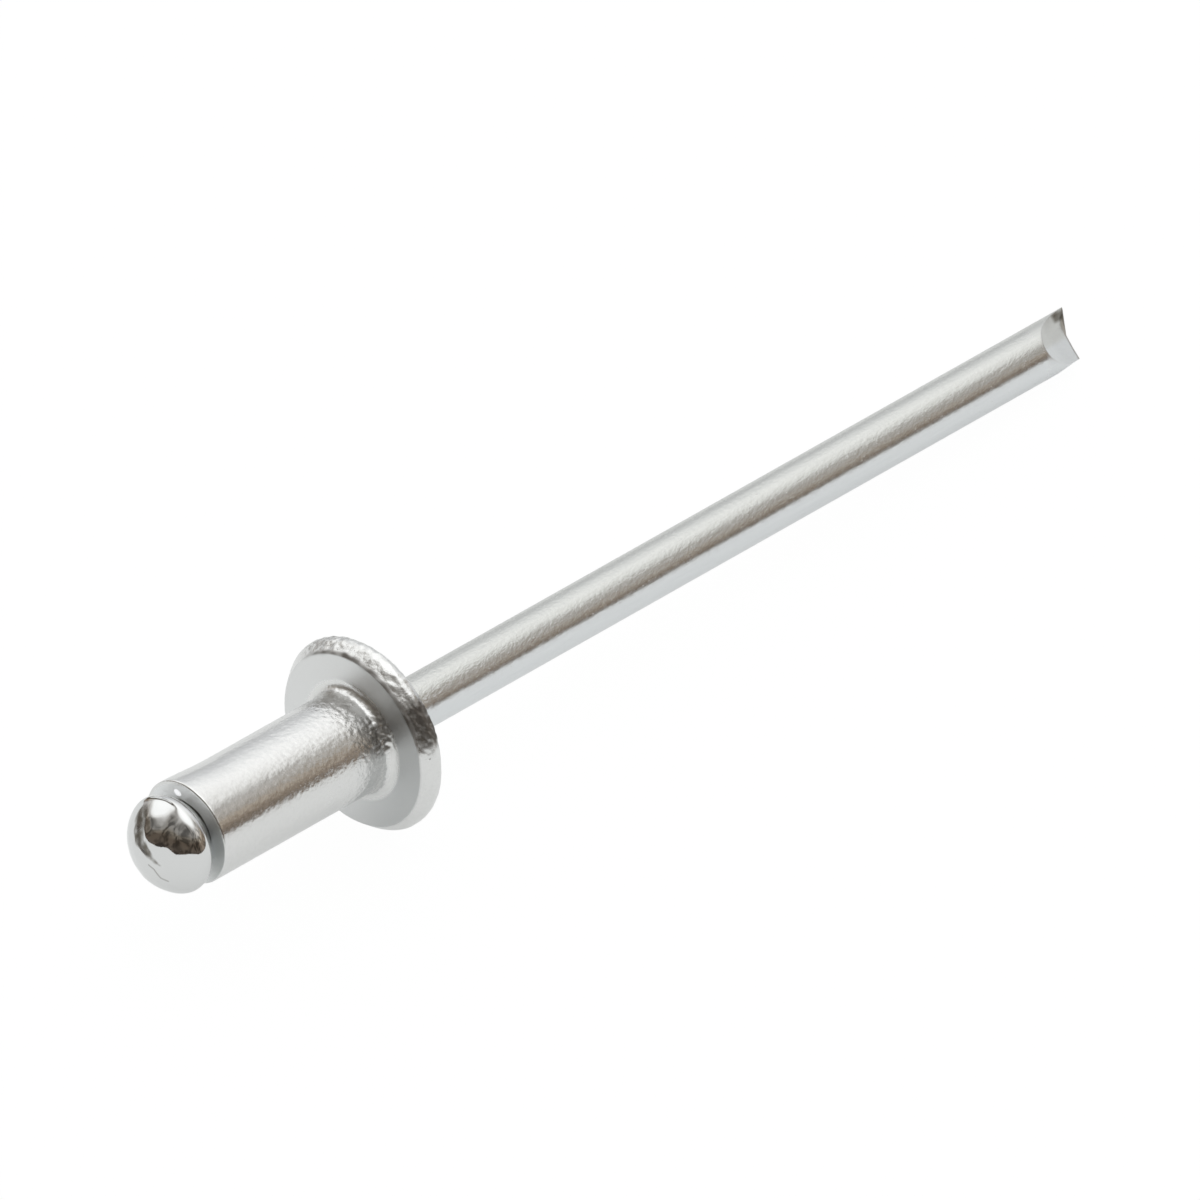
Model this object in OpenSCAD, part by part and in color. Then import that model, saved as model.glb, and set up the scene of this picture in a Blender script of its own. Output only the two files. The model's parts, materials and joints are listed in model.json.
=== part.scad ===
// Open-end blind rivet, 3.2 mm: a soft flanged tube threaded on a headed steel mandrel.
// It lies on the rim of its flange and on the tail of its mandrel, with the axis in the XZ plane.

/* [Rivet body] */
// Diameter of the tube that goes through the sheets
shank_d = 3.2; // [2.4:0.1:4]
// Length of the tube below the flange
shank_l = 7; // [4:0.1:16]
// Radius of the fillet between tube and flange
root_r = 0.3; // [0.1:0.05:0.4]
// Largest diameter of the flange
flange_d = 6.1; // [5.6:0.1:6.7]
// Height of the flange's widest circle above its bearing face
flange_waist = 0.49; // [0.4:0.01:0.6]
// Height of the dome's crown above the bearing face
flange_h = 1.1; // [0.95:0.05:1.3]
// Diameter of the flat bearing face
bearing_d = 5.52; // [5.2:0.01:5.55]
// Radius of the flange's rounded rim
rim_r = 0.28; // [0.2:0.01:0.32]

/* [Mandrel] */
// Diameter of the drawn wire
wire_d = 1.66; // [1.4:0.02:1.8]
// Distance from the bearing face to the end of the tail
tail_reach = 30; // [25:0.5:40]
// Diameter of the upset head
head_d = 3.06; // [2.7:0.02:3.2]
// Distance from the tube's end to the head's widest circle
head_gap = 0.57; // [0.5:0.01:0.7]
// Height of the head's dome beyond its widest circle
head_dome = 0.98; // [0.8:0.02:1.2]
// Radius of the rounded shoulder around the head
shoulder_r = 0.45; // [0.3:0.05:0.5]
// How much upsetting the head swells the radius of the wire beside it
wire_swell = 0.01; // [0.005:0.005:0.015]
// Width across the four flats of the break neck
neck_w = 1.1; // [0.8:0.05:1.2]
// Distance from the tube's end to the middle of the break neck
neck_depth = 0.85; // [0.8:0.05:1.5]
// Angle between each face of the pinched-off tail and the axis
pinch_angle = 30; // [20:1:40]
// Turn of the tail's chisel edge about the axis
tail_turn = 44; // [0:1:90]

/* [Fit] */
// Gap all round between wire and bore
bore_gap = 0.03; // [0.02:0.01:0.06]

/* [Hidden] */
$fn = 96;

shank_r = shank_d / 2;
flange_r = flange_d / 2;
bearing_r = bearing_d / 2;
wire_r = wire_d / 2;
bore_r = wire_r + bore_gap;
head_r = head_d / 2;

// Flange: the rim's circle, and the dome that is tangent to it.
rim_at = [flange_r - rim_r, flange_waist];
dome_r = tangent_dome_r(rim_at[0], flange_h - rim_at[1], rim_r);
dome_at = flange_h - dome_r;
dome_lean = atan2(rim_at[0], rim_at[1] - dome_at);
dome_edge = rim_at + rim_r * [sin(dome_lean), cos(dome_lean)];

// The straight flank from the bearing face's edge is tangent to the rim's circle.
flank = rim_at - [bearing_r, 0];
flank_l = sqrt(flank * flank - rim_r * rim_r);
flank_angle = atan2(flank[1], flank[0]) - asin(rim_r / norm(flank));
flank_end = [bearing_r, 0] + flank_l * [cos(flank_angle), sin(flank_angle)];

// Mandrel head: the shoulder's circle, and the dome that is tangent to it.
shoulder_at = [head_r - shoulder_r, -shank_l - head_gap];
crown_r = tangent_dome_r(shoulder_at[0], head_dome, shoulder_r);
apex = shoulder_at[1] - head_dome;
crown_at = apex + crown_r;
crown_lean = atan2(shoulder_at[0], crown_at - shoulder_at[1]);
crown_edge = shoulder_at + shoulder_r * [sin(crown_lean), -cos(crown_lean)];

// Under the head is a 45 degree cone that seats in the mouth of the tube.
seat_edge = shoulder_at + shoulder_r * [sin(45), cos(45)];
stem_root_r = wire_r + wire_swell;
seat_top = seat_edge[1] + seat_edge[0] - stem_root_r;

// The swell runs out just past the flange, where the bare stem begins.
stem_start = flange_h + 0.1;

// The tail's pinch cuts run past the wire's sides.
cut_w = 2 * wire_r;
cut_l = cut_w / tan(pinch_angle);

// Rest: the rim and the tail's lowest corner touch the ground.
tail_corner = tail_reach - wire_r * cos(tail_turn) / tan(pinch_angle);
drop = rim_at[0] - wire_r;
span = tail_corner - rim_at[1];
rest_tilt = atan2(drop, span) + asin(rim_r / norm([drop, span]));
axis_h = rim_at[0] * cos(rest_tilt) + rim_at[1] * sin(rest_tilt) + rim_r;

// The origin is under the middle of the rivet's length.
blind_x = crown_at * cos(rest_tilt) - crown_r;
tail_x = tail_reach * cos(rest_tilt) + wire_r * sin(tail_turn) * sin(rest_tilt);
bearing_x = -(blind_x + tail_x) / 2;

// Radius of a dome of height h that is tangent to a corner circle of radius r, out at x.
function tangent_dome_r(x, h, r) = (x * x + h * h - r * r) / (2 * (h - r));

// Lays what is built up along +Z on the ground, with its bearing face at bearing_x and +X upwards.
module lay_down() {
    translate([bearing_x, 0, axis_h])
        rotate([0, 90 + rest_tilt, 0])
            rotate([0, 0, 180])
                children();
}

// Half section of the flange: flat below, flared flank, rounded rim and low dome.
module flange_section() {
    polygon([[0, 0], [bearing_r, 0], flank_end, rim_at, dome_edge, [0, dome_edge[1]]]);
    translate(rim_at)
        circle(r = rim_r);
    intersection() {
        translate([0, dome_at])
            circle(r = dome_r, $fn = 720);
        translate([0, dome_edge[1]])
            square([dome_edge[0], flange_h - dome_edge[1]]);
    }
}

// Half section of the tube, with the fillet at its root.
module tube_section() {
    translate([0, -shank_l])
        square([shank_r, shank_l]);
    difference() {
        translate([0, -root_r])
            square([shank_r + root_r, root_r]);
        translate([shank_r + root_r, -root_r])
            circle(r = root_r);
    }
}

module rivet_body() {
    mouth_r = seat_edge[0] + seat_edge[1] + shank_l;
    color("gainsboro")
        lay_down()
            difference() {
                rotate_extrude() {
                    flange_section();
                    tube_section();
                }
                translate([0, 0, -shank_l - 1])
                    cylinder(r = bore_r, h = shank_l + flange_h + 2);
                // Seat of the mandrel's head
                translate([0, 0, -shank_l])
                    cylinder(r1 = mouth_r, r2 = 0, h = mouth_r);
            }
}

// Half section of the mandrel's head and wire.
module mandrel_section() {
    polygon([[0, crown_edge[1]], crown_edge, shoulder_at, seat_edge, [stem_root_r, seat_top],
             [wire_r, stem_start], [wire_r, tail_reach], [0, tail_reach]]);
    translate(shoulder_at)
        circle(r = shoulder_r);
    intersection() {
        translate([0, crown_at])
            circle(r = crown_r, $fn = 180);
        translate([0, apex])
            square([crown_edge[0], crown_edge[1] - apex]);
    }
}

// One side of the V-shaped notch that is pinched into the wire.
module neck_notch() {
    depth = wire_r - neck_w / 2;
    translate([neck_w / 2, 0, neck_depth - shank_l])
        rotate([90, 0, 0])
            linear_extrude(height = wire_d + 1, center = true)
                polygon([[0, 0], [2 * depth, -depth], [2 * depth, depth]]);
}

// What the pinching jaw takes from one side of the tail.
module pinch_cut() {
    rotate([90, 0, 0])
        linear_extrude(height = wire_d + 1, center = true)
            polygon([[0, tail_reach], [cut_w, tail_reach - cut_l], [cut_w, tail_reach + 1],
                     [0, tail_reach + 1]]);
}

module mandrel() {
    color("silver")
        lay_down()
            difference() {
                rotate_extrude()
                    mandrel_section();
                for (turn = [0 : 90 : 270])
                    rotate([0, 0, turn])
                        neck_notch();
                for (turn = [0, 180])
                    rotate([0, 0, tail_turn + turn])
                        pinch_cut();
            }
}

rivet_body();
mandrel();
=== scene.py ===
import json
import math

import bmesh
import bpy
from mathutils import Matrix, Vector, noise


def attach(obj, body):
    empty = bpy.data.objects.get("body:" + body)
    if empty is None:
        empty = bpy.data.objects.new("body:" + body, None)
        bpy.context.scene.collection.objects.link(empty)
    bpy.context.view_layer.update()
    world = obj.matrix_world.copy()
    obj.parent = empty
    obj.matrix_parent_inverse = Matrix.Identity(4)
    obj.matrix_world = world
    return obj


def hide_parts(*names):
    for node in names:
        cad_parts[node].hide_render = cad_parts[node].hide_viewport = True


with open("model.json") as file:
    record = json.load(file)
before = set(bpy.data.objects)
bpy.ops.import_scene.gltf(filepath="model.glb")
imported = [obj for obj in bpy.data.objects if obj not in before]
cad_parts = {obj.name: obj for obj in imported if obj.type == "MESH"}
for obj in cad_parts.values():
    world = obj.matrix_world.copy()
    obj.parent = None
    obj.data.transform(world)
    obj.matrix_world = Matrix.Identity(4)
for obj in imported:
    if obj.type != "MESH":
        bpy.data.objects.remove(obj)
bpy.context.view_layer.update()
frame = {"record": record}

# ---------------------------------------------------------------------------------------------
# Rivet body
# A soft aluminium tube with a low domed flange, cold-headed in one piece and bored through.
# The die leaves the blind end smooth, an orange-peel grain beside the flange, and a free rim
# that is pitted where the metal flowed past the tool. All its sizes are in millimetres.
# ---------------------------------------------------------------------------------------------
mounts = {mount["name"]: mount for mount in frame["record"]["mounts"]}
axis = Vector(mounts["mandrel_stem"]["axis"])
shank_middle = Vector(mounts["shank"]["pos_m"])
bearing_point = Vector(mounts["bearing_face"]["pos_m"])
bearing_centre = shank_middle + axis * axis.dot(bearing_point - shank_middle)

# Both pieces are turned about Z, with the bearing face at height 0, and then laid down.
up = Vector((-axis.z, 0, axis.x))
side = axis.cross(up)
turn = Matrix((up, side, axis)).transposed().to_4x4()
lay_down = Matrix.Translation(bearing_centre) @ turn @ Matrix.Scale(0.001, 4)

shank_r = mounts["shank"]["dims"]["r_mm"]
wire_r = mounts["mandrel_stem"]["dims"]["r_mm"]
shank_l = 7.0
root_r = 0.3
bore_r = wire_r + 0.03
bearing_r = 2.76
rim_r = 0.28
rim_at = (2.77, 0.49)
flange_h = 1.1
edge_r = 0.06
# This tube was cut a little short of its nominal length.
cut_short = 0.12
seat_mouth_r = 1.146 - cut_short
blind = -shank_l + cut_short
# The direction across the axis that is uppermost as the camera sees it.
upper_x = 0.674
upper_y = -0.738
# A painted highlight on the blind end's face: its place, and a faint glow in place of a glint.
glint_x = 1.23
glint_y = -0.44
glint_glow = 0.4


def tangent_dome(out, height, corner):
    """Radius of a dome that is tangent to a corner circle, out from the axis and height below."""
    return (out * out + height * height - corner * corner) / (2 * (height - corner))


def straight(start, end, step, grain=(0.0, 0.0)):
    """Section points from start up to end, without end; each carries how grained it is."""
    count = max(1, round(math.dist(start, end) / step))
    points = []
    for i in range(count):
        share = i / count
        points.append((start[0] + share * (end[0] - start[0]),
                       start[1] + share * (end[1] - start[1]),
                       grain[0] + share * (grain[1] - grain[0])))
    return points


def arc(centre, radius, first, last, step, grain=(0.0, 0.0)):
    """Section points round a centre, between two angles in degrees, without the last one."""
    count = max(2, round(radius * math.radians(abs(last - first)) / step))
    points = []
    for i in range(count):
        share = i / count
        angle = math.radians(first + share * (last - first))
        points.append((centre[0] + radius * math.cos(angle),
                       centre[1] + radius * math.sin(angle),
                       grain[0] + share * (grain[1] - grain[0])))
    return points


def turned_tree():
    """Turns a half section, a curve in the XZ plane, about Z and raises its grain."""
    tree = bpy.data.node_groups.new("turned_piece", "GeometryNodeTree")
    tree.interface.new_socket("Geometry", in_out="OUTPUT", socket_type="NodeSocketGeometry")
    for name, kind in (("Section", "NodeSocketObject"), ("Around", "NodeSocketInt"),
                       ("Grain Height", "NodeSocketFloat"), ("Grain Size", "NodeSocketFloat"),
                       ("Grain Seed", "NodeSocketFloat"), ("Metal", "NodeSocketMaterial")):
        tree.interface.new_socket(name, in_out="INPUT", socket_type=kind)

    def add(kind, **settings):
        node = tree.nodes.new(kind)
        for name, value in settings.items():
            setattr(node, name, value)
        return node

    def wire(source, target):
        tree.links.new(source, target)

    given = add("NodeGroupInput")
    section = add("GeometryNodeObjectInfo")
    wire(given.outputs["Section"], section.inputs["Object"])
    size = add("GeometryNodeAttributeDomainSize", component="CURVE")
    wire(section.outputs["Geometry"], size.inputs["Geometry"])
    turns = add("FunctionNodeIntegerMath", operation="ADD")
    wire(given.outputs["Around"], turns.inputs[0])
    turns.inputs[1].default_value = 1
    grid = add("GeometryNodeMeshGrid")
    wire(turns.outputs[0], grid.inputs["Vertices X"])
    wire(size.outputs["Point Count"], grid.inputs["Vertices Y"])

    # The grid's points run along the section first, and then round the axis.
    index = add("GeometryNodeInputIndex")
    along = add("FunctionNodeIntegerMath", operation="MODULO")
    around = add("FunctionNodeIntegerMath", operation="DIVIDE_FLOOR")
    for node in (along, around):
        wire(index.outputs[0], node.inputs[0])
        wire(size.outputs["Point Count"], node.inputs[1])
    angle = add("ShaderNodeMath", operation="DIVIDE")
    wire(around.outputs[0], angle.inputs[0])
    wire(given.outputs["Around"], angle.inputs[1])
    radians = add("ShaderNodeMath", operation="MULTIPLY")
    wire(angle.outputs[0], radians.inputs[0])
    radians.inputs[1].default_value = 2 * math.pi
    place = add("GeometryNodeInputPosition")
    point = add("GeometryNodeSampleIndex", data_type="FLOAT_VECTOR", domain="POINT")
    wire(section.outputs["Geometry"], point.inputs["Geometry"])
    wire(place.outputs[0], point.inputs["Value"])
    wire(along.outputs[0], point.inputs["Index"])
    spin = add("ShaderNodeVectorRotate", rotation_type="Z_AXIS")
    wire(point.outputs["Value"], spin.inputs["Vector"])
    wire(radians.outputs[0], spin.inputs["Angle"])
    grained = add("GeometryNodeInputRadius")
    strength = add("GeometryNodeSampleIndex", data_type="FLOAT", domain="POINT")
    wire(section.outputs["Geometry"], strength.inputs["Geometry"])
    wire(grained.outputs[0], strength.inputs["Value"])
    wire(along.outputs[0], strength.inputs["Index"])
    keep = add("GeometryNodeStoreNamedAttribute", data_type="FLOAT", domain="POINT")
    keep.inputs["Name"].default_value = "grain"
    wire(grid.outputs["Mesh"], keep.inputs["Geometry"])
    wire(strength.outputs["Value"], keep.inputs["Value"])
    shape = add("GeometryNodeSetPosition")
    wire(keep.outputs["Geometry"], shape.inputs["Geometry"])
    wire(spin.outputs["Vector"], shape.inputs["Position"])
    closed = add("GeometryNodeMergeByDistance")
    wire(shape.outputs["Geometry"], closed.inputs["Geometry"])
    closed.inputs["Distance"].default_value = 0.0002

    finer = add("ShaderNodeMath", operation="DIVIDE")
    finer.inputs[0].default_value = 1.0
    wire(given.outputs["Grain Size"], finer.inputs[1])
    peel = add("ShaderNodeTexNoise", noise_dimensions="4D")
    wire(given.outputs["Grain Seed"], peel.inputs["W"])
    wire(finer.outputs[0], peel.inputs["Scale"])
    peel.inputs["Detail"].default_value = 1.5
    centred = add("ShaderNodeMath", operation="SUBTRACT")
    wire(peel.outputs[0], centred.inputs[0])
    centred.inputs[1].default_value = 0.5
    raised = add("ShaderNodeMath", operation="MULTIPLY")
    wire(centred.outputs[0], raised.inputs[0])
    wire(given.outputs["Grain Height"], raised.inputs[1])
    local = add("GeometryNodeInputNamedAttribute", data_type="FLOAT")
    local.inputs["Name"].default_value = "grain"
    scaled = add("ShaderNodeMath", operation="MULTIPLY")
    wire(raised.outputs[0], scaled.inputs[0])
    wire(local.outputs["Attribute"], scaled.inputs[1])
    outward = add("GeometryNodeInputNormal")
    push = add("ShaderNodeVectorMath", operation="SCALE")
    wire(outward.outputs["Normal"], push.inputs[0])
    wire(scaled.outputs[0], push.inputs["Scale"])
    grain = add("GeometryNodeSetPosition")
    wire(closed.outputs["Geometry"], grain.inputs["Geometry"])
    wire(push.outputs["Vector"], grain.inputs["Offset"])
    whole = add("GeometryNodeRealizeInstances")
    wire(grain.outputs["Geometry"], whole.inputs["Geometry"])
    metal = add("GeometryNodeSetMaterial")
    wire(whole.outputs["Geometry"], metal.inputs["Geometry"])
    wire(given.outputs["Metal"], metal.inputs["Material"])
    result = add("NodeGroupOutput")
    wire(metal.outputs["Geometry"], result.inputs["Geometry"])
    return tree


turned_piece = turned_tree()


def turn_up(name, points, metal, around, grain_height, grain_size, seed):
    """A plain mesh object in millimetres, turned about Z from its section's points."""
    curve = bpy.data.curves.new(name + "_section", "CURVE")
    curve.dimensions = "3D"
    line = curve.splines.new("POLY")
    line.points.add(len(points) - 1)
    for spot, (out, height, grain) in zip(line.points, points):
        spot.co = (out, 0, height, 1)
        spot.radius = grain
    section = bpy.data.objects.new(name + "_section", curve)
    bpy.context.scene.collection.objects.link(section)
    piece = bpy.data.objects.new(name, bpy.data.meshes.new(name))
    bpy.context.scene.collection.objects.link(piece)
    lathe = piece.modifiers.new("lathe", "NODES")
    lathe.node_group = turned_piece
    values = {"Section": section, "Around": around, "Grain Height": grain_height,
              "Grain Size": grain_size, "Grain Seed": seed, "Metal": metal}
    for socket in turned_piece.interface.items_tree:
        if socket.in_out == "INPUT":
            lathe[socket.identifier] = values[socket.name]
    evaluated = piece.evaluated_get(bpy.context.evaluated_depsgraph_get())
    mesh = bpy.data.meshes.new_from_object(evaluated)
    piece.modifiers.remove(lathe)
    piece.data = mesh
    bpy.data.objects.remove(section)
    return piece


def lie(piece, sharp_angle):
    """Points the faces outwards, smooths all but the sharp edges and lays the piece down."""
    work = bmesh.new()
    work.from_mesh(piece.data)
    bmesh.ops.recalc_face_normals(work, faces=work.faces)
    work.to_mesh(piece.data)
    work.free()
    piece.data.transform(lay_down)
    piece.data.shade_smooth()
    piece.data.set_sharp_from_angle(angle=math.radians(sharp_angle))


class Metal:
    """A node material whose patterns are drawn in the piece's own turned millimetres."""

    def __init__(self, name):
        self.material = bpy.data.materials.new(name)
        self.material.use_nodes = True
        self.tree = self.material.node_tree
        self.tree.nodes.clear()
        self.shader = self.add("ShaderNodeBsdfPrincipled")
        self.shader.inputs["Metallic"].default_value = 1.0
        surface = self.add("ShaderNodeOutputMaterial")
        self.wire(self.shader.outputs[0], surface.inputs["Surface"])
        coordinates = self.add("ShaderNodeTexCoord")
        mapping = self.add("ShaderNodeMapping", vector_type="TEXTURE")
        place, rotation, scale = lay_down.decompose()
        mapping.inputs["Location"].default_value = place
        mapping.inputs["Rotation"].default_value = rotation.to_euler()
        mapping.inputs["Scale"].default_value = scale
        self.wire(coordinates.outputs["Object"], mapping.inputs["Vector"])
        self.point = mapping.outputs["Vector"]
        split = self.add("ShaderNodeSeparateXYZ")
        self.wire(self.point, split.inputs[0])
        self.x, self.y, self.z = split.outputs
        flat = self.stretch((1, 1, 0))
        length = self.add("ShaderNodeVectorMath", operation="LENGTH")
        self.wire(flat, length.inputs[0])
        self.r = length.outputs["Value"]

    def add(self, kind, **settings):
        node = self.tree.nodes.new(kind)
        for name, value in settings.items():
            setattr(node, name, value)
        return node

    def wire(self, source, target):
        self.tree.links.new(source, target)

    def put(self, value, target):
        """A number goes on the socket itself, and anything else is wired to it."""
        if isinstance(value, (int, float)):
            target.default_value = value
        else:
            self.wire(value, target)

    def stretch(self, factors):
        node = self.add("ShaderNodeVectorMath", operation="MULTIPLY")
        self.wire(self.point, node.inputs[0])
        node.inputs[1].default_value = factors
        return node.outputs["Vector"]

    def math(self, operation, first, second=0.0):
        node = self.add("ShaderNodeMath", operation=operation)
        self.put(first, node.inputs[0])
        self.put(second, node.inputs[1])
        return node.outputs[0]

    def noise(self, per_mm, detail=2.0, rough=0.5, vector=None):
        node = self.add("ShaderNodeTexNoise")
        self.wire(vector or self.point, node.inputs["Vector"])
        node.inputs["Scale"].default_value = per_mm
        node.inputs["Detail"].default_value = detail
        node.inputs["Roughness"].default_value = rough
        return node.outputs[0]

    def fade(self, value, start, end, low=0.0, high=1.0):
        """Low up to start, high from end, and a smooth step between."""
        node = self.add("ShaderNodeMapRange", interpolation_type="SMOOTHSTEP")
        self.wire(value, node.inputs["Value"])
        node.inputs["From Min"].default_value = start
        node.inputs["From Max"].default_value = end
        node.inputs["To Min"].default_value = low
        node.inputs["To Max"].default_value = high
        return node.outputs[0]

    def blend(self, share, low, high):
        """Between two numbers or values."""
        node = self.add("ShaderNodeMix", data_type="FLOAT")
        self.wire(share, node.inputs["Factor"])
        self.put(low, node.inputs["A"])
        self.put(high, node.inputs["B"])
        return node.outputs[0]

    def tint(self, share, low, high):
        """Between two colours."""
        node = self.add("ShaderNodeMix", data_type="RGBA")
        self.wire(share, node.inputs["Factor"])
        for colour, target in ((low, node.inputs[6]), (high, node.inputs[7])):
            if isinstance(colour, tuple):
                target.default_value = (*colour, 1)
            else:
                self.wire(colour, target)
        return node.outputs[2]

    def bump(self, height, distance, strength=1.0, under=None):
        """Distance is in metres, as the shader works in the scene's units."""
        node = self.add("ShaderNodeBump")
        self.put(strength, node.inputs["Strength"])
        node.inputs["Distance"].default_value = distance
        self.wire(height, node.inputs["Height"])
        if under is not None:
            self.wire(under, node.inputs["Normal"])
        return node.outputs[0]

    def grain(self):
        return self.add("ShaderNodeAttribute", attribute_name="grain").outputs["Fac"]

    def scar(self):
        return self.add("ShaderNodeAttribute", attribute_name="scar").outputs["Fac"]


def soft_aluminium():
    """Bright on the tube, matte with painted shade on the flange's underside and blind end, dark in
    the rim's pitting, with painted highlights and dark reflections.
    """
    metal = Metal("soft_aluminium")
    grain = metal.grain()
    root_edge = shank_r + root_r
    under = metal.math("MULTIPLY", metal.fade(metal.r, root_edge - 0.05, root_edge + 0.08),
                       metal.fade(metal.r, bearing_r + 0.05, bearing_r - 0.02))
    end = metal.math("MULTIPLY", metal.fade(metal.z, blind + 0.04, blind + 0.02),
                     metal.fade(metal.r, shank_r - 0.01, shank_r - 0.05))
    rim = metal.fade(metal.r, bearing_r, bearing_r + 0.06)
    speckle = metal.noise(9.0, 3.0, 0.65)
    # Dark: the rim's real pitting, and the painted shade and painted dark reflections carried in the
    # marks.
    pits_and_painted_shade = metal.fade(metal.noise(4.5, 4.0, 0.75), 0.66, 0.72)
    pits_and_painted_shade = metal.math("MAXIMUM", metal.math("MULTIPLY", pits_and_painted_shade, rim), metal.scar())
    # Below zero, the marks stand for a painted highlight spot on the blind end's face.
    bright = metal.fade(metal.scar(), -0.2, -0.7)
    root = metal.math("MULTIPLY", metal.fade(metal.r, shank_r + 0.02, shank_r + 0.10),
                      metal.fade(metal.r, root_edge + 0.03, root_edge - 0.08))
    root = metal.math("MULTIPLY", root, metal.fade(metal.z, -root_r - 0.1, -root_r + 0.02))
    root = metal.math("MULTIPLY", root, metal.fade(metal.z, 0.2, 0.1))
    dome = metal.fade(metal.z, 0.62, 0.72)

    tone = metal.tint(speckle, (0.73, 0.73, 0.725), (0.85, 0.85, 0.845))
    # The underside's tone is matte grey with painted shade, darker towards +Y.
    underside_tone_and_shade = metal.tint(metal.fade(metal.y, -0.5, 2.2), (0.82, 0.825, 0.825), (0.61, 0.62, 0.62))
    tone = metal.tint(under, tone, underside_tone_and_shade)
    # Painted highlight: the fillet at the root is lighter, to broaden its bright crescent.
    tone = metal.tint(root, tone, (0.84, 0.84, 0.83))

    rough = metal.blend(grain, 0.15, 0.21)
    rough = metal.math("ADD", rough, metal.fade(speckle, 0.45, 0.75, 0.0, 0.10))
    rough = metal.blend(under, rough, 0.40)
    rough = metal.blend(root, rough, 0.30)
    rough = metal.blend(dome, rough, 0.30)
    # The blind end's face has painted shade: darker towards +Y.
    end_face_tone_and_shade = metal.tint(metal.fade(metal.y, 0.6, 1.5), (0.88, 0.89, 0.895), (0.60, 0.615, 0.61))
    tone = metal.tint(end, tone, end_face_tone_and_shade)
    rough = metal.blend(end, rough, 0.42)
    # Painted highlight: a white spot on the blind end's face.
    tone = metal.tint(bright, tone, (0.97, 0.98, 1.0))
    tone = metal.tint(pits_and_painted_shade, tone, (0.12, 0.105, 0.09))
    rough = metal.blend(pits_and_painted_shade, rough, 0.55)
    # The painted highlight also glows faintly, in place of a glint.
    metal.shader.inputs["Emission Color"].default_value = (0.97, 0.98, 1.0, 1)
    glow = metal.fade(bright, 0.0, 1.0, 0.0, glint_glow)
    metal.wire(glow, metal.shader.inputs["Emission Strength"])
    metal.wire(tone, metal.shader.inputs["Base Color"])
    metal.wire(rough, metal.shader.inputs["Roughness"])

    rings = metal.add("ShaderNodeTexNoise", noise_dimensions="1D")
    metal.wire(metal.r, rings.inputs["W"])
    rings.inputs["Scale"].default_value = 22.0
    rings.inputs["Detail"].default_value = 2.0
    relief = metal.bump(rings.outputs[0], 4e-6, metal.math("MULTIPLY", under, 0.5))
    relief = metal.bump(metal.noise(13.0, 3.0, 0.6), 8e-6, metal.math("ADD", grain, 0.05), relief)
    relief = metal.bump(metal.noise(40.0, 2.0, 0.6, metal.stretch((1, 1, 0.25))), 1e-6, 0.35, relief)
    metal.wire(relief, metal.shader.inputs["Normal"])
    return metal.material


def body_section():
    """The whole outline of the tube's wall and flange, round to where it starts."""
    dome_r = tangent_dome(rim_at[0], flange_h - rim_at[1], rim_r)
    dome_at = (0, flange_h - dome_r)
    lean = math.degrees(math.atan2(rim_at[0], rim_at[1] - dome_at[1]))
    flank = math.degrees(math.atan2(rim_at[1], rim_at[0] - bearing_r)
                         - math.asin(rim_r / math.hypot(rim_at[0] - bearing_r, rim_at[1])))
    flank_end = arc(rim_at, rim_r, flank - 90, 90, 1)[0][:2]
    lip_lean = math.degrees(math.asin(bore_r / dome_r))
    lip = arc(dome_at, dome_r, 90 - lip_lean, 90, 100)[0][:2]
    points = []
    points += straight((seat_mouth_r, blind), (shank_r - edge_r, blind), 0.025, (0.3, 0.4))
    points += arc((shank_r - edge_r, blind + edge_r), edge_r, -90, 0, 0.012, (0.6, 0.5))
    points += straight((shank_r, blind + edge_r), (shank_r, -4.5), 0.06, (0.3, 0.45))
    points += straight((shank_r, -4.5), (shank_r, -root_r), 0.042, (0.45, 1.0))
    points += arc((shank_r + root_r, -root_r), root_r, 180, 90, 0.03, (1.0, 0.7))
    points += straight((shank_r + root_r, 0), (bearing_r, 0), 0.06, (0.08, 0.3))
    points += straight((bearing_r, 0), flank_end, 0.035, (0.4, 0.5))
    points += arc(rim_at, rim_r, flank - 90, 90 - lean, 0.03, (0.5, 0.5))
    points += arc(dome_at, dome_r, 90 - lean, 90 - lip_lean, 0.06, (0.9, 0.4))
    points += straight(lip, (bore_r, 0.6), 0.05)
    points += straight((bore_r, 0.6), (bore_r, blind + seat_mouth_r - bore_r), 0.5)
    points += straight((bore_r, blind + seat_mouth_r - bore_r), (seat_mouth_r, blind), 0.1)
    points.append(points[0])
    return points


def step(value, start, end):
    """From 0 at start to 1 at end, smoothly; end may be the smaller."""
    share = max(0.0, min(1.0, (value - start) / (end - start)))
    return share * share * (3 - 2 * share)


def mark(piece, change):
    """Moves each point as change says, and keeps its marks and painted light, below zero for a
    painted highlight, and its grain.
    """
    scar_and_light_values = piece.data.attributes.new("scar", "FLOAT", "POINT")
    grains = piece.data.attributes["grain"]
    for vertex, scar, grain in zip(piece.data.vertices, scar_and_light_values.data, grains.data):
        scar.value, coarser = change(vertex.co)
        grain.value *= coarser


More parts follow.
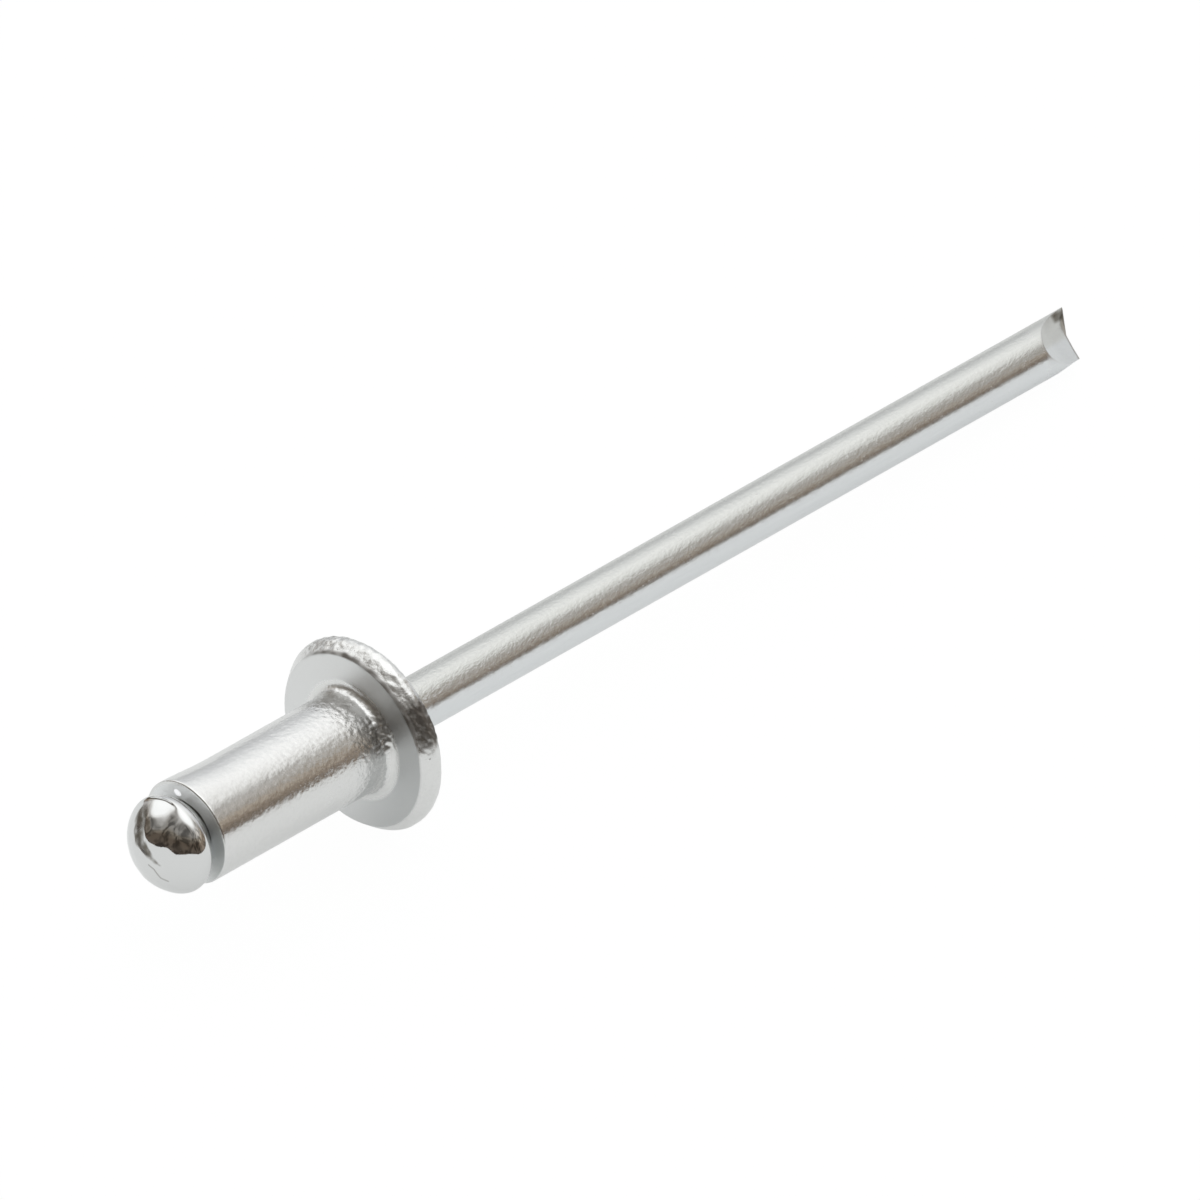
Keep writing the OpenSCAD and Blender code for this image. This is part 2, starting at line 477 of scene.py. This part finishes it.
def wear_body(place):
    """Lumps, tears and pitting along the rim, a flared blind end with a painted highlight spot and a
    painted shadow ring at its mouth, and painted dark reflection at the root.
    """
    out = math.hypot(place.x, place.y)
    outward = Vector((place.x, place.y, 0)).normalized()
    around = math.degrees(math.atan2(place.y, place.x))
    scar = 0.0
    coarser = 1.0
    if out > bearing_r - 0.12 and place.z < 1:
        rim = step(out, bearing_r - 0.05, bearing_r + 0.1)
        lump = noise.noise(place * 1.3) * 0.016 + noise.noise(place * 3.5) * 0.008
        torn = step(around, 36, 46) * step(around, 72, 62) * step(out, 2.78, 2.86)
        tear = noise.noise(place * 9) * 0.045 + noise.noise(place * 17) * 0.02
        worked = step(around, -75, -30) * step(around, 60, 40) * rim
        ripple = noise.noise(place * 6) * 0.022 + noise.noise(place * 12) * 0.008
        coarser = 0.25 + 2.0 * worked
        place += outward * (lump * rim + tear * torn + ripple * worked)
        broken = 0.025 * noise.noise(place * 2.5)
        edge = step(out + broken, bearing_r - 0.07, bearing_r)
        edge *= step(out + broken, bearing_r + 0.10, bearing_r + 0.02)
        edge *= step(around, -60, -25) * step(around, 66, 50)
        scar = edge * (0.75 + 0.5 * noise.noise(place * 3))
        spotted = step(around, -58, -45) * step(around, -5, -25) * rim
        scar = max(scar, 0.4 * spotted * step(noise.noise(place * 11), -0.1, 0.25))
        tatters = noise.noise(place * 8) + 0.6 * noise.noise(place * 17)
        scar = max(scar, torn * (0.95 + 0.6 * tatters))
        scar = min(scar, 0.92)
    elif place.z < -5 and out > seat_mouth_r - 0.01:
        # The cut flared the tube's upper side.
        above = place.x * upper_x + place.y * upper_y
        flare = step(above, 0.4, 1.6) * step(place.z, -5, -6.9)
        place += outward * (0.08 * flare)
        if place.z < blind + 0.03:
            # A painted highlight spot on the blind end's face.
            glint_spot = math.hypot((place.x - glint_x) * 1.5, place.y - glint_y)
            scar = -step(glint_spot, 0.17, 0.12)
            # A painted shadow ring at the tube's mouth, next to the mandrel's head.
            inner = 1.09 + 0.04 * noise.noise(place * 3)
            scar += 0.95 * step(out, inner, inner - 0.05) * step(abs(around - 15), 70, 40)
            place.z += noise.noise(place * 2.2) * 0.012
    elif place.z > -0.75 and place.z < 0 and out < shank_r + root_r:
        root = step(around, 20, 40) * step(around, 78, 60) * step(place.z, -0.7, -0.45)
        place += outward * noise.noise(place * 8) * 0.03 * root
        # Dark speckles at the root: painted dark reflection, over real raised grain.
        scar = 0.75 * root * step(noise.noise(place * 9), -0.25, 0.2)
    return scar, coarser


rivet_body = turn_up("rivet_body_looks", body_section(), soft_aluminium(), around=332,
                     grain_height=0.032, grain_size=0.13, seed=4.0)
mark(rivet_body, wear_body)
lie(rivet_body, 38)
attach(rivet_body, "root")
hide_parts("rivet_body")

# ---------------------------------------------------------------------------------------------
# Mandrel
# One length of drawn steel wire. A header upset its blind end into a glossy domed head, pressed
# a break neck of four flats into it inside the tube, and nippers pinched off its tail.
# ---------------------------------------------------------------------------------------------
tail_reach = 30.0
head_r = 3.06 / 2
head_gap = 0.57
head_dome = 0.98
shoulder_r = 0.45
# As in the solid, the wire is a hair thicker inside the body than outside it.
wire_swell = 0.01
stem_start = 1.2
neck_at = -6.15
neck_half = 0.55
pinch_slope = math.tan(math.radians(30))
tail_turn = math.radians(44)


def bright_steel():
    """Satin along the drawn wire, polished on the head, dull where the nippers pinched it."""
    metal = Metal("bright_steel")
    head = metal.fade(metal.z, -shank_l + 0.1, -shank_l - 0.05)
    tail = metal.fade(metal.z, 28.4, 28.7)
    long_marks = metal.noise(14.0, 3.0, 0.6, metal.stretch((1, 1, 0.05)))
    speckle = metal.noise(11.0, 3.0, 0.65, metal.stretch((1, 1, 0.6)))
    grain = metal.grain()
    # The wire is rougher on its upper side, and darker there: painted shade.
    across = metal.math("ADD", metal.math("MULTIPLY", metal.x, upper_x),
                        metal.math("MULTIPLY", metal.y, upper_y))
    tone = metal.tint(long_marks, (0.73, 0.75, 0.765), (0.825, 0.84, 0.85))
    upper_side_painted_shade = metal.tint(long_marks, (0.64, 0.645, 0.63), (0.725, 0.73, 0.71))
    tone = metal.tint(metal.fade(across, -0.12, 0.1), tone, upper_side_painted_shade)
    tone = metal.tint(head, tone, (0.76, 0.765, 0.765))
    # Dark marks: painted dark reflection along the head's fold and on the tail's burr, and the
    # head's real lap line.
    scar = metal.scar()
    tone = metal.tint(scar, tone, (0.15, 0.135, 0.11))
    metal.wire(tone, metal.shader.inputs["Base Color"])
    rough = metal.fade(speckle, 0.3, 0.75, 0.18, 0.28)
    rough = metal.blend(tail, rough, 0.36)
    rough = metal.blend(head, rough, metal.fade(speckle, 0.5, 0.8, 0.05, 0.14))
    rough = metal.blend(scar, rough, 0.35)
    metal.wire(rough, metal.shader.inputs["Roughness"])
    on_wire = metal.math("SUBTRACT", 1.0, head)
    rougher = metal.fade(across, -0.27, -0.12, 0.2, 1.0)
    relief = metal.bump(long_marks, 2e-6, metal.math("MULTIPLY", on_wire, 0.5))
    rougher = metal.math("MULTIPLY", rougher, metal.math("MULTIPLY", on_wire, grain))
    relief = metal.bump(speckle, 24e-6, rougher, relief)
    relief = metal.bump(metal.noise(30.0, 3.0, 0.7), 0.8e-6, 0.3, relief)
    metal.wire(relief, metal.shader.inputs["Normal"])
    return metal.material


def mandrel_section():
    """Half the mandrel's outline, from the head's crown to the end of the tail."""
    shoulder_at = (head_r - shoulder_r, -shank_l - head_gap)
    crown_r = tangent_dome(shoulder_at[0], head_dome, shoulder_r)
    crown_at = (0, shoulder_at[1] - head_dome + crown_r)
    lean = math.degrees(math.atan2(shoulder_at[0], crown_at[1] - shoulder_at[1]))
    seat = arc(shoulder_at, shoulder_r, 45, 90, 1)[0]
    root = wire_r + wire_swell
    seat_top = seat[1] + seat[0] - root
    points = []
    points += arc(crown_at, crown_r, -90, lean - 90, 0.03, (0.3, 0.3))
    points += arc(shoulder_at, shoulder_r, lean - 90, 45, 0.03, (0.3, 0.3))
    points += straight(seat[:2], (root, seat_top), 0.08)
    points += straight((root, seat_top), (root, neck_at - 0.3), 0.08)
    points += straight((root, neck_at - 0.3), (root, neck_at + 0.3), 0.03)
    points += straight((root, neck_at + 0.3), (wire_r, stem_start), 0.6)
    points += straight((wire_r, stem_start), (wire_r, 8), 0.07, (1.0, 0.6))
    points += straight((wire_r, 8), (wire_r, 28.4), 0.12, (0.6, 0.5))
    points += straight((wire_r, 28.4), (wire_r, tail_reach), 0.03)
    points.append((wire_r, tail_reach, 0.0))
    points.append((0.0, tail_reach, 0.0))
    return points


def beside(place, route):
    """Distance from a place to a line through points on the head, seen along the axis."""
    nearest = 1.0
    for start, end in zip(route, route[1:]):
        run = Vector(end) - Vector(start)
        share = max(0.0, min(1.0, (place.xy - Vector(start)).dot(run) / run.length_squared))
        nearest = min(nearest, (place.xy - Vector(start) - run * share).length)
    return nearest


def press_neck(place):
    """Four V-shaped flats around the neck, hidden in the tube."""
    half = neck_half + abs(place.z - neck_at)
    place.x = max(-half, min(half, place.x))
    place.y = max(-half, min(half, place.y))


def wear_head(place):
    """The head sits a little off centre; its dome is uneven, with a fold and a thin lap line."""
    share = step(place.z, -shank_l - 0.05, -shank_l - 0.3)
    crown = step(place.z, -shank_l - head_gap, -shank_l - head_gap - 0.3)
    swell = noise.noise(place * 0.9 + Vector((3, 1, 0))) * 0.04
    swell += noise.noise(place * 2.6) * 0.018 + noise.noise(place * 6) * 0.0015
    # The header pressed the dome flatter on its upper side.
    flat = 0.19 * (0.5 * (place.x + math.hypot(place.x, 0.3)) - 0.35) * step(place.y, 0.8, -0.3)
    fold = beside(place, fold_route)
    lap = beside(place, lap_route)
    place.z += crown * (swell + flat)
    place.z += crown * (0.03 * step(fold, 0.24, 0.0) + 0.01 * step(lap, 0.05, 0.0))
    place += Vector((-0.027, 0.030, 0)) * share
    ragged = 0.06 * noise.noise(place * 5) + 0.015 * noise.noise(place * 13)
    width = 0.04 + 0.08 * step(place.y, 0.4, 0.0) + 0.17 * step(place.y, -0.2, -0.6)
    # The fold is raised in the dome; the dark band along it is painted reflection, widest towards -Y
    # where it joins the dome's dark reflection. The thin lap line is a real mark.
    dark = (0.8 + 0.5 * noise.noise(place * 6)) * step(fold + ragged, width + 0.05, width - 0.05)
    return crown * max(min(dark, 0.95), 0.5 * step(lap, 0.045, 0.01)), 1.0


def pinch_tail(place):
    """Two facets that meet in a blunt chisel edge, with a burr on the edge's upper end."""
    across = Vector((math.cos(tail_turn), math.sin(tail_turn), 0))
    upper = Vector((math.sin(tail_turn), -math.cos(tail_turn), 0))
    out = place.dot(across)
    half = max(0.025, (tail_reach - place.z) * pinch_slope)
    if abs(out) > half:
        place -= across * (out - math.copysign(half, out))
    reach = place.dot(upper) / wire_r
    lower = step(reach, -0.5, -1.0)
    end = step(place.z, tail_reach - 1.0, tail_reach)
    place.z += end * (0.10 + 0.30 * step(reach, 0.3, 1.0) + 0.02 * lower)
    place += upper * 0.07 * lower * end
    tip = step(place.z, tail_reach - 0.3, tail_reach + 0.2) * step(reach, 0.6, 0.95)
    place += across * (0.06 * tip)
    # The burr's end is painted dark: a painted reflection.
    scar = 0.9 * step(reach, 0.55, 0.7) * step(reach, 1.02, 0.85)
    return scar * step(place.z, tail_reach - 0.35, tail_reach - 0.1), 1.0


def wear_mandrel(place):
    if place.z < -shank_l:
        return wear_head(place)
    if abs(place.z - neck_at) < 0.4:
        press_neck(place)
    if place.z > 28:
        return pinch_tail(place)
    return 0.0, 1.0


# On the head, across the axis: the fold runs past the crown, and the lap lies below it.
fold_route = [(0.78, -0.72), (0.55, -0.52), (0.33, -0.33), (0.10, 0.08), (-0.10, 0.44)]
lap_route = [(-0.22, 0.10), (-0.30, 0.27), (-0.57, 0.46), (-0.62, 0.66)]

mandrel = turn_up("mandrel_looks", mandrel_section(), bright_steel(), around=192,
                  grain_height=0.010, grain_size=0.20, seed=9.0)
mark(mandrel, wear_mandrel)
lie(mandrel, 35)
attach(mandrel, "root")
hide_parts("mandrel")

# ---------------------------------------------------------------------------------------------
# Stage
# A white table top that glows a little, and a bright tent above it with a dim gap low down. The
# tent is all the light there is, without lamps. A long lens looks down on the blind end.
# ---------------------------------------------------------------------------------------------
azimuth = math.radians(-45.67)
elevation = math.radians(39.46)
aim_along = 0.01036
frame_width = 0.03509
lens = 1500.0
sensor = 36.0


def table_top():
    half = 1.5
    mesh = bpy.data.meshes.new("table_top")
    mesh.from_pydata([(-half, -half, 0), (half, -half, 0), (half, half, 0), (-half, half, 0)], [],
                     [(0, 1, 2, 3)])
    top = bpy.data.objects.new("table_top", mesh)
    bpy.context.scene.collection.objects.link(top)
    material = bpy.data.materials.new("white_table")
    material.use_nodes = True
    tree = material.node_tree
    paper = tree.nodes["Principled BSDF"]
    paper.inputs["Base Color"].default_value = (0.48, 0.485, 0.485, 1)
    paper.inputs["Roughness"].default_value = 1.0
    paper.inputs["Specular IOR Level"].default_value = 0.0
    paper.inputs["Emission Color"].default_value = (0.98, 1.0, 1.0, 1)
    paper.inputs["Emission Strength"].default_value = 0.46
    glow = tree.nodes.new("ShaderNodeEmission")
    glow.inputs["Strength"].default_value = 1.02
    path = tree.nodes.new("ShaderNodeLightPath")
    share = tree.nodes.new("ShaderNodeMath")
    share.operation = "MULTIPLY"
    tree.links.new(path.outputs["Is Camera Ray"], share.inputs[0])
    share.inputs[1].default_value = 0.92
    lit = tree.nodes.new("ShaderNodeMixShader")
    tree.links.new(share.outputs[0], lit.inputs[0])
    tree.links.new(paper.outputs[0], lit.inputs[1])
    tree.links.new(glow.outputs[0], lit.inputs[2])
    tree.links.new(lit.outputs[0], tree.nodes["Material Output"].inputs["Surface"])
    mesh.materials.append(material)


def light_tent():
    """Brightness by height above the horizon: near side and far side, with a wavy gap."""
    world = bpy.data.worlds.new("light_tent")
    bpy.context.scene.world = world
    world.use_nodes = True
    tree = world.node_tree
    tree.nodes.clear()

    def add(kind, **settings):
        node = tree.nodes.new(kind)
        for name, value in settings.items():
            setattr(node, name, value)
        return node

    def number(operation, first, second=0.0):
        node = add("ShaderNodeMath", operation=operation)
        for value, target in ((first, node.inputs[0]), (second, node.inputs[1])):
            if isinstance(value, (int, float)):
                target.default_value = value
            else:
                tree.links.new(value, target)
        return node.outputs[0]

    def fade(value, start, end, low=0.0, high=1.0, kind="SMOOTHSTEP"):
        node = add("ShaderNodeMapRange", interpolation_type=kind)
        tree.links.new(value, node.inputs["Value"])
        node.inputs["From Min"].default_value = start
        node.inputs["From Max"].default_value = end
        node.inputs["To Min"].default_value = low
        node.inputs["To Max"].default_value = high
        return node.outputs[0]

    def ramp(stops):
        """Stops are degrees above the horizon and a colour."""
        node = add("ShaderNodeValToRGB")
        node.color_ramp.interpolation = "EASE"
        while len(node.color_ramp.elements) < len(stops):
            node.color_ramp.elements.new(0.5)
        for element, (degrees, colour) in zip(node.color_ramp.elements, stops):
            element.position = (degrees + 90) / 180
            element.color = (*colour, 1)
        return node

    direction = add("ShaderNodeTexCoord").outputs["Generated"]
    split = add("ShaderNodeSeparateXYZ")
    tree.links.new(direction, split.inputs[0])
    wave = add("ShaderNodeTexNoise")
    tree.links.new(direction, wave.inputs["Vector"])
    wave.inputs["Scale"].default_value = 2.5
    wave.inputs["Detail"].default_value = 2.0
    height = number("DEGREES", number("ARCSINE", split.outputs["Z"]))
    height = number("ADD", height, number("MULTIPLY", number("SUBTRACT", wave.outputs[0], 0.5), 8.0))
    # The gap reaches higher where the camera looks in.
    facing = number("SUBTRACT", number("MULTIPLY", split.outputs["X"], -0.97),
                    number("MULTIPLY", split.outputs["Y"], 0.26))
    height = number("MULTIPLY", height, fade(facing, -0.3, 0.5, 1.0, 0.74))
    # It is shallow beyond the rivet's blind end.
    beyond = number("SUBTRACT", number("MULTIPLY", split.outputs["Y"], 0.95),
                    number("MULTIPLY", split.outputs["X"], 0.3))
    height = number("MULTIPLY", height, fade(beyond, 0.6, 0.95, 1.0, 2.4))
    level = number("DIVIDE", number("ADD", height, 90.0), 180.0)
    near = ramp([(-4, (1.0, 1.0, 1.0)), (1, (0.20, 0.165, 0.135)), (15, (0.19, 0.15, 0.115)),
                 (23, (0.34, 0.295, 0.24)), (31, (0.48, 0.455, 0.42)), (38, (0.45, 0.43, 0.40)),
                 (45, (0.58, 0.57, 0.55)), (50, (0.88, 0.88, 0.86)), (56, (1.05, 1.06, 1.05)),
                 (90, (1.3, 1.3, 1.3))])
    far = ramp([(-4, (1.0, 1.0, 1.0)), (0, (0.46, 0.465, 0.47)), (14, (0.60, 0.61, 0.62)),
                (35, (0.88, 0.89, 0.89)), (50, (1.1, 1.1, 1.09)), (90, (1.3, 1.3, 1.3))])
    for node in (near, far):
        tree.links.new(level, node.inputs[0])
    # The camera's side is the near one.
    toward = number("ADD", number("MULTIPLY", split.outputs["Y"], 0.6),
                    number("MULTIPLY", split.outputs["X"], 0.8))
    sides = add("ShaderNodeMix", data_type="RGBA")
    tree.links.new(fade(toward, 0.35, 0.75), sides.inputs["Factor"])
    # The room seen through the gap is mottled.
    blotch = add("ShaderNodeTexNoise")
    tree.links.new(direction, blotch.inputs["Vector"])
    blotch.inputs["Scale"].default_value = 6.0
    blotch.inputs["Detail"].default_value = 1.0
    strength = fade(blotch.outputs[0], 0.38, 0.62, 0.5, 1.5, "LINEAR")
    darker = fade(facing, -0.3, 0.5, 1.0, 0.38)
    mottled = add("ShaderNodeVectorMath", operation="SCALE")
    tree.links.new(near.outputs[0], mottled.inputs[0])
    tree.links.new(number("MULTIPLY", strength, darker), mottled.inputs["Scale"])
    room = add("ShaderNodeMix", data_type="RGBA")
    tree.links.new(fade(height, 36.0, 46.0, kind="LINEAR"), room.inputs["Factor"])
    tree.links.new(mottled.outputs["Vector"], room.inputs[6])
    tree.links.new(near.outputs[0], room.inputs[7])
    tree.links.new(room.outputs[2], sides.inputs[6])
    tree.links.new(far.outputs[0], sides.inputs[7])
    tent = add("ShaderNodeBackground")
    tree.links.new(sides.outputs[2], tent.inputs["Color"])
    tent.inputs["Strength"].default_value = 1.15
    backdrop = add("ShaderNodeBackground")
    backdrop.inputs["Color"].default_value = (0.97, 0.97, 0.97, 1)
    path = add("ShaderNodeLightPath")
    mix = add("ShaderNodeMixShader")
    tree.links.new(path.outputs["Is Camera Ray"], mix.inputs[0])
    tree.links.new(tent.outputs[0], mix.inputs[1])
    tree.links.new(backdrop.outputs[0], mix.inputs[2])
    surface = add("ShaderNodeOutputWorld")
    tree.links.new(mix.outputs[0], surface.inputs["Surface"])


def long_lens():
    data = bpy.data.cameras.new("camera")
    data.lens = lens
    data.sensor_width = sensor
    camera = bpy.data.objects.new("camera", data)
    bpy.context.scene.collection.objects.link(camera)
    back = Vector((math.sin(azimuth) * math.cos(elevation),
                   -math.cos(azimuth) * math.cos(elevation), math.sin(elevation)))
    distance = frame_width * lens / sensor
    camera.location = bearing_centre + axis * aim_along + back * distance
    camera.rotation_mode = "QUATERNION"
    camera.rotation_quaternion = (-back).to_track_quat("-Z", "Y")
    data.clip_start = distance * 0.1
    data.clip_end = distance * 20
    bpy.context.scene.camera = camera


table_top()
light_tent()
long_lens()
bpy.context.scene.view_settings.view_transform = "Standard"
bpy.context.scene.view_settings.look = "None"
